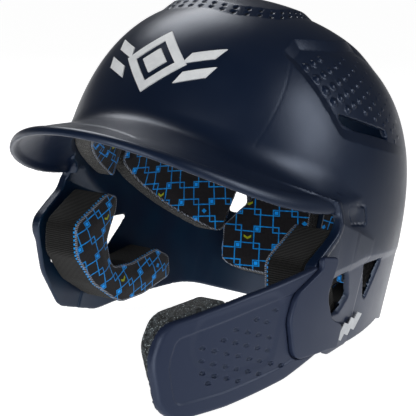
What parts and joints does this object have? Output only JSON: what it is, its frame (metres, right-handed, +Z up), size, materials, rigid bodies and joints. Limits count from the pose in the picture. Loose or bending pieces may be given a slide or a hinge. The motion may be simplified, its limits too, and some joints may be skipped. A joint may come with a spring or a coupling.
{
  "type": "batting helmet",
  "caption": "Open-face batting helmet with twin ear flaps, arched brim, padded liner and a bolt-on jaw guard on the wearer's left.",
  "frame": {"origin": "middle of the footprint box on the surface that the helmet rests on, leaning back on its jaw guard and nape", "axes": "+X to the wearer's left (the jaw guard's side), -Y towards the brim, +Z up; the helmet's own axes are pitched 20.4 degrees about X, brim up"},
  "size_m": [0.2152, 0.3134, 0.2186],
  "materials": {
    "navy_shell": "matte, fine texture",
    "navy_guard": "matte",
    "navy_cover": "satin",
    "emblem_white": "gloss",
    "decal_white": "satin",
    "guard_foam": "matte, closed cell",
    "screw_steel": "brushed",
    "nut_brass": "satin",
    "pad_foam": "open cell foam, speckled",
    "print_fabric": "printed knit",
    "band_fabric": "ribbed knit"
  },
  "bodies": {
    "helmet": {"outer_shell": "navy_shell", "front_emblem": "emblem_white", "side_decal": "decal_white", "guard_tee_nuts": "nut_brass", "left_ear_foam": "pad_foam", "left_ear_face": "print_fabric", "left_ear_band": "band_fabric", "right_ear_foam": "pad_foam", "right_ear_face": "print_fabric", "right_ear_band": "band_fabric", "front_pad_foam": "pad_foam", "front_pad_face": "print_fabric", "crown_pad_foam": "pad_foam", "crown_pad_face": "print_fabric", "left_side_pad_foam": "pad_foam", "left_side_pad_face": "print_fabric", "left_rear_pad_foam": "pad_foam", "left_rear_pad_face": "print_fabric", "right_side_pad_foam": "pad_foam", "right_side_pad_face": "print_fabric", "right_rear_pad_foam": "pad_foam", "right_rear_pad_face": "print_fabric"},
    "guard": {"jaw_guard": "navy_guard", "guard_foam": "guard_foam", "guard_screws": "screw_steel"},
    "cover": {"guard_cover": "navy_cover"}
  },
  "joints": [
    {"name": "guard_off", "type": "slide", "parent": "helmet", "child": "guard", "axis": [1, 0, 0], "range_m": [0, 0.03]},
    {"name": "cover_off", "type": "slide", "parent": "guard", "child": "cover", "axis": [1, 0, 0], "range_m": [0, 0.02]}
  ]
}
